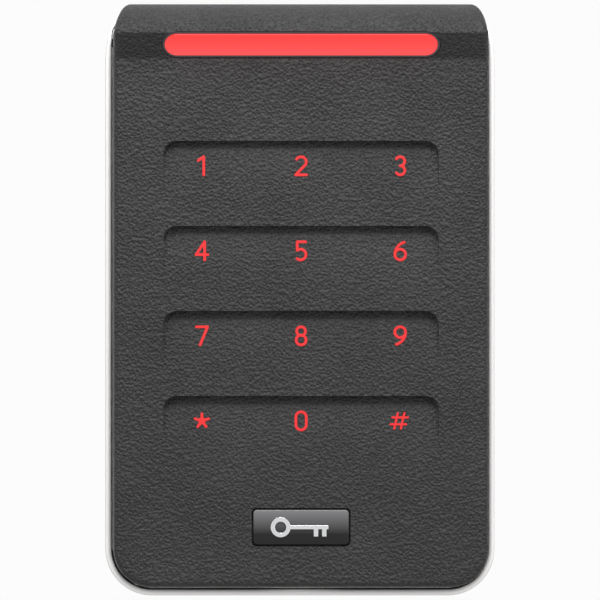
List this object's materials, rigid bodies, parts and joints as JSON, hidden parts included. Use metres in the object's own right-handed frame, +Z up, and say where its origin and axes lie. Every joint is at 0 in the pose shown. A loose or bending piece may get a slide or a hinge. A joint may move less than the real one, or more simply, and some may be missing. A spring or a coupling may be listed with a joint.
{
  "type": "keypad access reader",
  "caption": "Slim upright wall reader with a touch keypad, a red light bar under a roll across the top, and a silver rimmed wall plate.",
  "frame": {"origin": "centre of the wall plate's rear face, at half the reader's height, on the wall", "axes": "-Y out of the wall towards the user, +X to the user's right, +Z up"},
  "size_m": [0.08, 0.0215, 0.1216],
  "materials": {
    "plate_silver": "fine metallic satin",
    "case_black": "pebble grain",
    "cover_black": "matt",
    "seal_rubber": "matt",
    "lamp_red": "lit, satin",
    "legend_red": "lit, satin",
    "clear_plastic": "clear",
    "smoked_plastic": "smoked",
    "badge_gloss": "gloss",
    "chrome_foil": "bright",
    "board_green": "solder resist",
    "film_amber": "film",
    "chip_black": "moulded",
    "tinned_steel": "tinned",
    "screw_steel": "passivated",
    "copper_wire": "enamelled",
    "insert_brass": "knurled",
    "connector_ivory": "moulded",
    "terminal_green": "moulded",
    "module_blue": "solder resist",
    "lamp_white": "moulded"
  },
  "bodies": {
    "wall_plate": {"mounting_plate": "plate_silver"},
    "reader": {"front_housing": "case_black", "rear_cover": "cover_black", "housing_seal": "seal_rubber", "rear_cover_screws": "screw_steel", "light_bar_lens": "lamp_red", "light_bar_guide": "clear_plastic", "light_bar_board": "board_green", "light_bar_lamps": "lamp_white", "light_bar_connector": "connector_ivory", "legend_1": "legend_red", "legend_2": "legend_red", "legend_3": "legend_red", "legend_4": "legend_red", "legend_5": "legend_red", "legend_6": "legend_red", "legend_7": "legend_red", "legend_8": "legend_red", "legend_9": "legend_red", "legend_star": "legend_red", "legend_0": "legend_red", "legend_hash": "legend_red", "keypad_light_guide": "clear_plastic", "keypad_lamps": "lamp_white", "touch_sensor_film": "film_amber", "touch_film_connector": "connector_ivory", "badge_plate": "badge_gloss", "badge_emblem": "chrome_foil", "main_board": "board_green", "board_screws": "screw_steel", "processor": "chip_black", "radio_chip": "chip_black", "radio_shield": "tinned_steel", "clock_crystal": "tinned_steel", "antenna_coil": "copper_wire", "wireless_module": "module_blue", "buzzer": "chip_black", "tamper_sensor": "chip_black", "tamper_window": "smoked_plastic", "power_inductor": "chip_black", "power_capacitors": "tinned_steel", "surge_diodes": "chip_black", "terminal_header": "terminal_green", "terminal_pins": "tinned_steel", "threaded_insert": "insert_brass"},
    "terminal_plug_body": {"terminal_plug": "terminal_green", "terminal_screws": "screw_steel", "terminal_clamps": "tinned_steel"},
    "washer": {"lock_washer": "screw_steel"},
    "screw": {"security_screw": "screw_steel"}
  },
  "joints": [
    {"name": "reader_tilt", "type": "hinge", "parent": "wall_plate", "child": "reader", "pos_m": [0, -0.0115, 0.052], "axis": [-1, 0, 0], "range_deg": [0, 12]},
    {"name": "plug_pull", "type": "slide", "parent": "reader", "child": "terminal_plug_body", "axis": [0, 1, 0], "range_m": [0, 0.006]},
    {"name": "screw_back_out", "type": "slide", "parent": "reader", "child": "washer", "axis": [0, 0, -1], "range_m": [0, 0.006]},
    {"name": "screw_turn", "type": "hinge", "parent": "washer", "child": "screw", "pos_m": [0, -0.008, -0.0575], "axis": [0, 0, -1], "range_deg": [0, 2730]}
  ],
  "couplings": [
    {"joint": "screw_turn", "follows": "screw_back_out", "rad_per_m": 7913.3}
  ]
}
